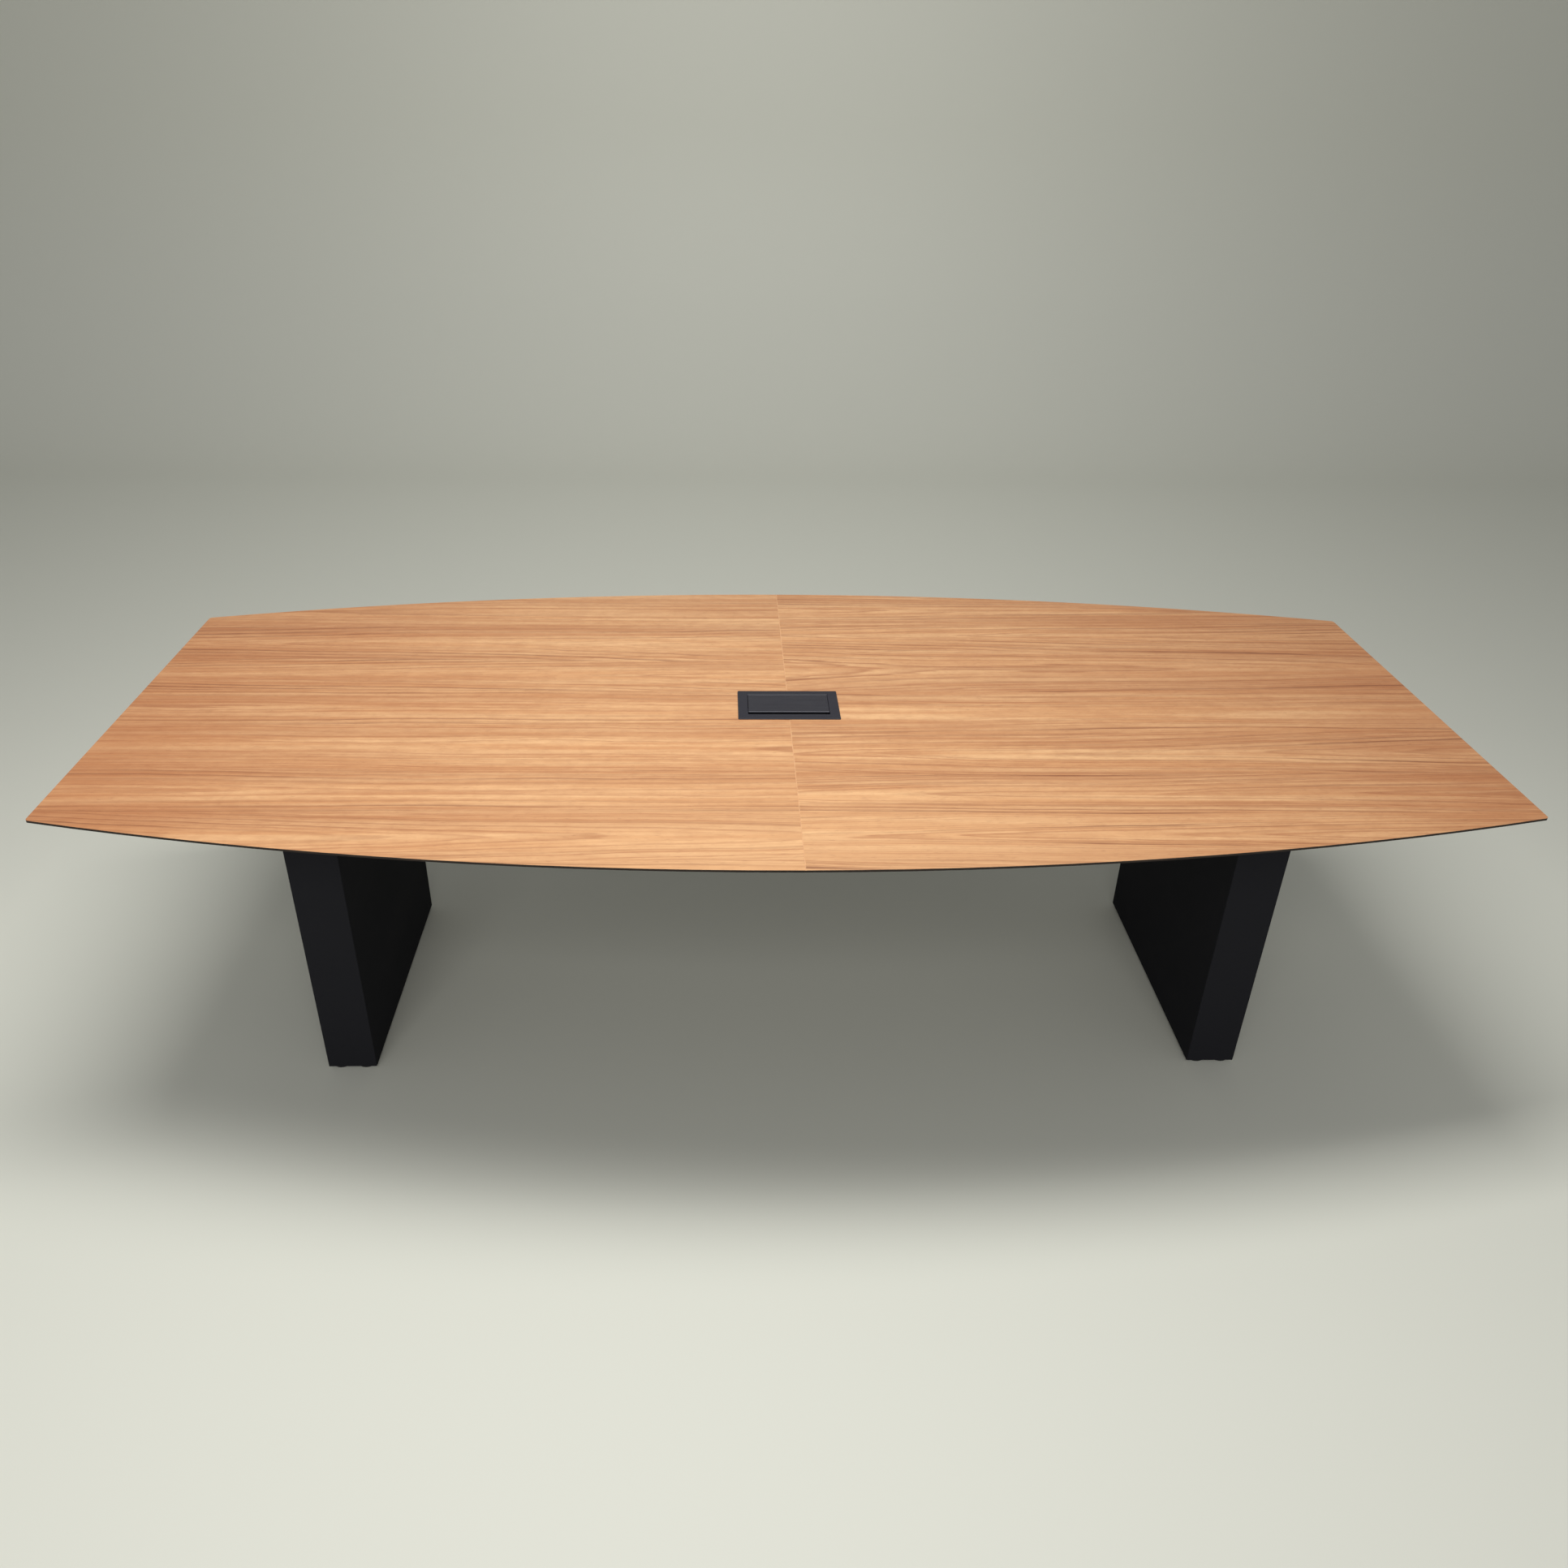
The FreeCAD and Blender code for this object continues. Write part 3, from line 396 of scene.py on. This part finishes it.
# %% [markdown]
# Dark boards.
# The core of the top shows only at its edge, which is lacquered nearly black, and the legs
# are boards faced in matt black. Both are almost featureless, so what makes them look real is small:
# a fine grain that breaks up the shine, faint patches where hands and cloths have changed the gloss,
# and corners that have gone a little paler. The corners are the eased edges of the solids, and
# a surface finds them by facing two ways at once.

# %% Dark boards
PATCH_STRETCH = (3.0, 3.0, 5.0)
PATCH_SHIFT = (1.7, 0.3, 2.9)
SPECK_SHARE = 0.35
SPECK_DEPTH = 0.00005
RUB_SHARE = 0.7
GLOSS_SWING = 0.03


def worn_corner(tree):
    """1 on the narrow eased corners that face two sides at once, 0 on the flats."""
    facing = normal_parts(tree)
    sideways = sum_of(tree, "ABSOLUTE", facing["X"])
    forwards = sum_of(tree, "ABSOLUTE", facing["Y"])
    return span(tree, sum_of(tree, "MINIMUM", sideways, forwards), 0.3, 0.6)


def dark_board(name, colour, worn_colour, gloss, grain, shine=0.06):
    """A dark faced or lacquered board: fine grain, uneven gloss, paler corners."""
    material, tree, shader = new_finish(name, Specular_IOR_Level=shine)
    speck = cloud(tree, (grain, grain, grain))
    patch = cloud(tree, PATCH_STRETCH, PATCH_SHIFT, 4.0)
    rubbed = times(tree, worn_corner(tree), span(tree, patch, 0.4, 0.65))
    shade = mixed(tree, span(tree, speck, 0.3, 0.7, 0.0, SPECK_SHARE), colour, worn_colour)
    shade = mixed(tree, times(tree, rubbed, RUB_SHARE), shade, worn_colour)
    rough = span(tree, patch, 0.3, 0.7, gloss - GLOSS_SWING, gloss + GLOSS_SWING)
    relief = bumps(tree, speck, SPECK_DEPTH, 0.35)
    join(tree, shader, Base_Color=shade, Roughness=rough, Normal=relief)
    return material


edge_board = dark_board("edge_board", chart(46, 40, 36), chart(62, 54, 48), gloss=0.45, grain=900.0)
black_board = dark_board(
    "black_board", chart(32, 32, 35), chart(40, 40, 43), gloss=0.7, grain=1300.0, shine=0.025)
backer_sheet = dark_board("backer_sheet", chart(58, 46, 38), chart(74, 60, 50), gloss=0.6, grain=420.0)
print("dark boards:", edge_board.name, black_board.name, backer_sheet.name)

# %% [markdown]
# Metal of the power box.
# The bezel, the lid and the strip behind it are aluminium with a charcoal film and a faint brushing
# that runs along the table. The brushing is a cloud stretched more than a hundred times longer than
# it is wide. The eased edges get a painted highlight, paler than the flats, and the rounded front edge
# of the lid gets the palest painted highlight.

# %% Charcoal metal
FILM_SHINE = 0.29
HAIR_STRETCH = (9.0, 1400.0, 1400.0)
HAIR_SHARE = 0.3
HAIR_DEPTH = 0.00002
HAIR_SWING = 0.05
TOUCH_STRETCH = (18.0, 18.0, 18.0)
TOUCH_GLOSS = 0.06


def brushed_film(name, colour, brushing_and_highlight_colour, gloss):
    """A coloured metal film with brushing along X, and a painted highlight on its eased edges."""
    material, tree, shader = new_finish(name, Specular_IOR_Level=FILM_SHINE)
    hair = cloud(tree, HAIR_STRETCH, detail=3.0, rough=0.6)
    touched = cloud(tree, TOUCH_STRETCH, detail=3.0)
    level = normal_parts(tree)["Z"]
    # Painted highlight: the sloped eased edges are mixed towards the paler second colour
    eased = times(tree, span(tree, level, 0.15, 0.4), span(tree, level, 0.9, 0.99, 1.0, 0.0))
    shade = mixed(tree, span(tree, hair, 0.3, 0.75, 0.0, HAIR_SHARE), colour, brushing_and_highlight_colour)
    shade = mixed(tree, eased, shade, brushing_and_highlight_colour)
    rough = span(tree, hair, 0.2, 0.8, gloss - HAIR_SWING, gloss + HAIR_SWING)
    rough = sum_of(tree, "ADD", rough, span(tree, touched, 0.3, 0.7, 0.0, TOUCH_GLOSS))
    join(tree, shader, Base_Color=shade, Roughness=rough, Normal=bumps(tree, hair, HAIR_DEPTH, 0.4))
    return material


# The second colour tints the brushing and paints the highlight on the eased edges
charcoal_metal = brushed_film("charcoal_metal", chart(34, 33, 42), chart(44, 44, 50), gloss=0.45)
lid_metal = brushed_film("lid_metal", chart(29, 28, 36), chart(80, 80, 86), gloss=0.45)
strip_metal = brushed_film("strip_metal", chart(46, 46, 52), chart(68, 68, 74), gloss=0.42)
print("metal films:", charcoal_metal.name, lid_metal.name, strip_metal.name)

# %% [markdown]
# Painted steel, plated fasteners, plastics, rubber and plywood.
# These pieces are under the top or inside the box. Powder paint has the skin of an orange, zinc is
# bright with a cloudy bloom, moulded plastic has a fine even spark texture, and plywood shows its
# grain on the faces and its stacked sheets on the edges.

# %% Steel, plastic, rubber and plywood
SKIN_SHINE = 0.4
BLOOM_STRETCH = (24.0, 24.0, 24.0)
BLOOM_SHIFT = (0.8, 3.3, 1.2)
BLOOM_SHARE = 0.6
BLOOM_SWING = 0.07
PLY_SHINE = 0.25
PLY_PALE = chart(214, 184, 140)
PLY_BROWN = chart(180, 140, 96)
GLUE_LINE = chart(110, 78, 52)
GLUE_SHARE = 0.5
PLY_STRETCH = (160.0, 7.0, 160.0)
PLY_DEPTH = 0.0001
PLY_SHEETS_PER_METRE = 420.0


def speckled(name, colour, second, gloss, grain, depth, metal=0.0):
    """A surface with a small even texture: powder paint, moulded plastic, zinc or rubber."""
    material, tree, shader = new_finish(name, Metallic=metal, Specular_IOR_Level=SKIN_SHINE)
    skin = cloud(tree, (grain, grain, grain))
    bloom = cloud(tree, BLOOM_STRETCH, BLOOM_SHIFT, 4.0)
    shade = mixed(tree, span(tree, bloom, 0.3, 0.7, 0.0, BLOOM_SHARE), colour, second)
    rough = span(tree, bloom, 0.25, 0.75, gloss - BLOOM_SWING, gloss + BLOOM_SWING)
    join(tree, shader, Base_Color=shade, Roughness=rough, Normal=bumps(tree, skin, depth, 0.5))
    return material


def plywood_finish():
    """Pale plywood: long grain on the faces, thin dark glue lines between its sheets."""
    material, tree, shader = new_finish("plywood", Specular_IOR_Level=PLY_SHINE)
    grain = cloud(tree, PLY_STRETCH, detail=4.0)
    sheets = sum_of(tree, "FRACT", times(tree, place_parts(tree)["Z"], PLY_SHEETS_PER_METRE))
    shade = mixed(tree, span(tree, grain, 0.3, 0.75), PLY_PALE, PLY_BROWN)
    shade = mixed(tree, span(tree, sheets, 0.86, 0.96, 0.0, GLUE_SHARE), shade, GLUE_LINE)
    rough = span(tree, grain, 0.2, 0.8, 0.6, 0.75)
    join(tree, shader, Base_Color=shade, Roughness=rough, Normal=bumps(tree, grain, PLY_DEPTH, 0.4))
    return material


# After the two colours come the gloss, the grain per metre, its depth in metres, and 1 for bare metal
black_steel = speckled("black_steel", chart(27, 27, 29), chart(36, 36, 38), 0.5, 900.0, 0.0001)
housing_steel = speckled("housing_steel", chart(22, 22, 24), chart(30, 30, 33), 0.45, 700.0, 0.00006)
zinc_steel = speckled("zinc_steel", chart(190, 190, 186), chart(156, 158, 160), 0.32, 500.0, 0.00002, 1.0)
module_plastic = speckled("module_plastic", chart(23, 23, 25), chart(30, 30, 32), 0.45, 1600.0, 0.00002)
gland_plastic = speckled("gland_plastic", chart(30, 30, 31), chart(38, 38, 39), 0.5, 1600.0, 0.00003)
bumper_rubber = speckled("bumper_rubber", chart(26, 26, 26), chart(34, 34, 33), 0.75, 1200.0, 0.00004)
plywood = plywood_finish()
print("other finishes:", black_steel.name, zinc_steel.name, module_plastic.name, plywood.name)

# %% [markdown]
# The levelling glides.
# A glide is a nylon pad moulded on a steel screw. It is one piece, so one finish covers both: below
# the leg's underside it is black nylon, and above it is bright steel with the thread as fine rings.

# %% Levelling glides
THREADS_PER_METRE = 800.0
THREAD_DEPTH = 0.0006
PAD_EDGE = 0.0002
PAD_CLEARANCE = 0.0001
NYLON = chart(24, 24, 24)
SCUFFED_NYLON = chart(46, 45, 43)
SCUFF_SHARE = 0.5
SCREW_STEEL = chart(176, 176, 172)
STEEL_SMOOTHER = 0.2
SKIN_GRAIN = 1500.0
SKIN_HEIGHT = 0.05


def glide_finish(pad_top):
    """Nylon up to the pad's top, threaded steel above it."""
    material, tree, shader = new_finish("glide_plastic", Specular_IOR_Level=SKIN_SHINE)
    height = place_parts(tree)["Z"]
    is_steel = span(tree, height, pad_top, pad_top + PAD_EDGE)
    skin = cloud(tree, (SKIN_GRAIN, SKIN_GRAIN, SKIN_GRAIN))
    thread = sum_of(tree, "PINGPONG", times(tree, height, THREADS_PER_METRE), 0.5)
    scuff = cloud(tree, (60.0, 60.0, 200.0), detail=3.0)
    nylon = mixed(tree, span(tree, scuff, 0.45, 0.75, 0.0, SCUFF_SHARE), NYLON, SCUFFED_NYLON)
    shade = mixed(tree, is_steel, nylon, SCREW_STEEL)
    rough = span(tree, skin, 0.2, 0.8, 0.5, 0.62)
    rough = sum_of(tree, "SUBTRACT", rough, times(tree, is_steel, STEEL_SMOOTHER))
    relief = sum_of(tree, "ADD", times(tree, skin, SKIN_HEIGHT), times(tree, thread, is_steel))
    relief = bumps(tree, relief, THREAD_DEPTH, 0.8)
    join(tree, shader, Base_Color=shade, Roughness=rough, Metallic=is_steel, Normal=relief)
    return material


pad_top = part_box("leg_base_left")[0][2] - PAD_CLEARANCE
glide_plastic = glide_finish(pad_top)
print("pad height:", round(pad_top, 4))

# %% [markdown]
# Dressing the frame.
# The record says which material slot each piece takes, so one table from slot to finish dresses
# them all. The frame's own shapes stay: they are the real pieces. Only three pieces have a finish of
# their own: the laminate differs from half to half, and the lid is a little darker than the bezel, with a
# paler painted highlight at its edge.

# %% Dress every piece of the frame
finish_of_slot = {
    "edge_board": edge_board,
    "backer_sheet": backer_sheet,
    "black_board": black_board,
    "plywood": plywood,
    "black_steel": black_steel,
    "zinc_steel": zinc_steel,
    "glide_plastic": glide_plastic,
    "charcoal_metal": charcoal_metal,
    "strip_metal": strip_metal,
    "housing_steel": housing_steel,
    "module_plastic": module_plastic,
    "gland_plastic": gland_plastic,
    "bumper_rubber": bumper_rubber,
}
slot_of_node = {row["node"]: row["material_slot"] for row in frame["record"]["subparts"]}
own_finishes = {**laminate_finishes, "power_lid": lid_metal}
for name, piece in nodes.items():
    finish = own_finishes.get(name) or finish_of_slot[slot_of_node[name]]
    for holder in piece.material_slots:
        holder.material = finish
print("pieces dressed:", len(nodes))

# %% [markdown]
# Floor and light.
# A plain pale floor that sweeps up into a plain backdrop keeps the eye on the table. The photograph's
# shadow is broad and soft and lies just in front of the table's edge, so the main light is a large
# soft panel overhead, a little in front of the middle. A high panel in front lights the floor, a low one
# lets the fronts of the legs stand out from their inner sides, and one behind the table lights the
# backdrop. A weak, even sky fills the shadows.

# %% Floor, backdrop and lights
FLOOR_HALF_WIDTH = 9.0
FLOOR_FRONT = -7.0
FLOOR_BACK = 4.2
FLOOR_DROP = 0.0003
FLOOR_COLOUR = chart(214, 214, 202)
SWEEP_RADIUS = 1.6
BACKDROP_TOP = 6.0
SWEEP_STEPS = 16
SKY_COLOUR = (0.95, 0.97, 1.0, 1.0)
SKY_STRENGTH = 0.27


def studio_floor():
    """One sheet: a flat floor, a quarter-round sweep and an upright backdrop."""
    line = [(FLOOR_FRONT, 0.0), (FLOOR_BACK, 0.0)]
    for turn in range(1, SWEEP_STEPS + 1):
        angle = pi / 2 * turn / SWEEP_STEPS
        line.append((FLOOR_BACK + SWEEP_RADIUS * sin(angle), SWEEP_RADIUS * (1 - cos(angle))))
    line.append((FLOOR_BACK + SWEEP_RADIUS, BACKDROP_TOP))
    points = [(side * FLOOR_HALF_WIDTH, y, z - FLOOR_DROP) for y, z in line for side in (-1, 1)]
    faces = [(2 * i, 2 * i + 1, 2 * i + 3, 2 * i + 2) for i in range(len(line) - 1)]
    mesh = bpy.data.meshes.new("studio_floor")
    mesh.from_pydata(points, [], faces)
    for face in mesh.polygons:
        face.use_smooth = True
    floor = bpy.data.objects.new("studio_floor", mesh)
    bpy.context.collection.objects.link(floor)
    material, _, _ = new_finish(
        "studio_floor", Base_Color=FLOOR_COLOUR, Roughness=0.55, Specular_IOR_Level=0.2)
    mesh.materials.append(material)
    return floor


def soft_panel(name, place, aim, size, power):
    """A rectangular soft light at a place, turned to aim at a point; size in metres, power in watts."""
    data = bpy.data.lights.new(name, "AREA")
    data.shape = "RECTANGLE"
    data.size, data.size_y = size
    data.energy = power
    panel = bpy.data.objects.new(name, data)
    panel.location = place
    panel.rotation_euler = (Vector(aim) - Vector(place)).to_track_quat("-Z", "Y").to_euler()
    bpy.context.collection.objects.link(panel)
    return panel


floor = studio_floor()
panels = [
    soft_panel("overhead_panel", (-0.35, -0.3, 3.6), (-0.3, -0.5, 0.0), (2.6, 0.9), 101.0),
    soft_panel("front_panel", (-0.5, -5.0, 4.4), (-0.2, -0.6, 0.0), (4.5, 1.6), 72.0),
    soft_panel("low_front_panel", (-0.3, -5.6, 1.5), (-0.2, 0.0, 0.6), (5.0, 1.6), 70.0),
    soft_panel("backdrop_panel", (0.0, 2.6, 3.4), (0.0, 5.8, 2.2), (3.0, 1.0), 32.0),
]
world = bpy.data.worlds.new("studio_world")
bpy.context.scene.world = world
world.use_nodes = True
sky = world.node_tree.nodes["Background"]
sky.inputs["Color"].default_value = SKY_COLOUR
sky.inputs["Strength"].default_value = SKY_STRENGTH
bpy.context.scene.view_settings.view_transform = "Standard"
print("lights placed:", [panel.name for panel in panels])

# %% [markdown]
# The camera.
# The viewing point was worked out from the photograph: the corners of the top, the legs and the box
# fix where the camera stood, which way it looked and how wide its lens was. The picture is square, and
# its optical middle lies a little off the middle of the frame, which a small lens shift gives.

# %% Camera
FRAME_PIXELS = 1932
SENSOR_MM = 36.0
FOCAL_PIXELS = 1524.4
OPTICAL_MIDDLE_PIXELS = (931.3, 982.9)
CAMERA_PLACE = (-0.1447, -2.3520, 1.9067)
CAMERA_YAW = radians(1.937)
CAMERA_PITCH = radians(30.696)
CAMERA_ROLL = radians(0.931)

level_ahead = Vector((sin(CAMERA_YAW), cos(CAMERA_YAW), 0.0))
level_right = Vector((cos(CAMERA_YAW), -sin(CAMERA_YAW), 0.0))
straight_up = Vector((0.0, 0.0, 1.0))
ahead = level_ahead * cos(CAMERA_PITCH) - straight_up * sin(CAMERA_PITCH)
upright = level_ahead * sin(CAMERA_PITCH) + straight_up * cos(CAMERA_PITCH)
right = level_right * cos(CAMERA_ROLL) + upright * sin(CAMERA_ROLL)
above = upright * cos(CAMERA_ROLL) - level_right * sin(CAMERA_ROLL)
turn = Matrix((right, above, -ahead)).transposed().to_4x4()
lens = bpy.data.cameras.new("camera")
lens.sensor_width = SENSOR_MM
lens.lens = FOCAL_PIXELS / FRAME_PIXELS * SENSOR_MM
lens.shift_x = (FRAME_PIXELS / 2 - OPTICAL_MIDDLE_PIXELS[0]) / FRAME_PIXELS
lens.shift_y = (OPTICAL_MIDDLE_PIXELS[1] - FRAME_PIXELS / 2) / FRAME_PIXELS
camera = bpy.data.objects.new("camera", lens)
camera.matrix_world = Matrix.Translation(CAMERA_PLACE) @ turn
bpy.context.collection.objects.link(camera)
bpy.context.scene.camera = camera
print("camera lens, mm:", round(lens.lens, 2))
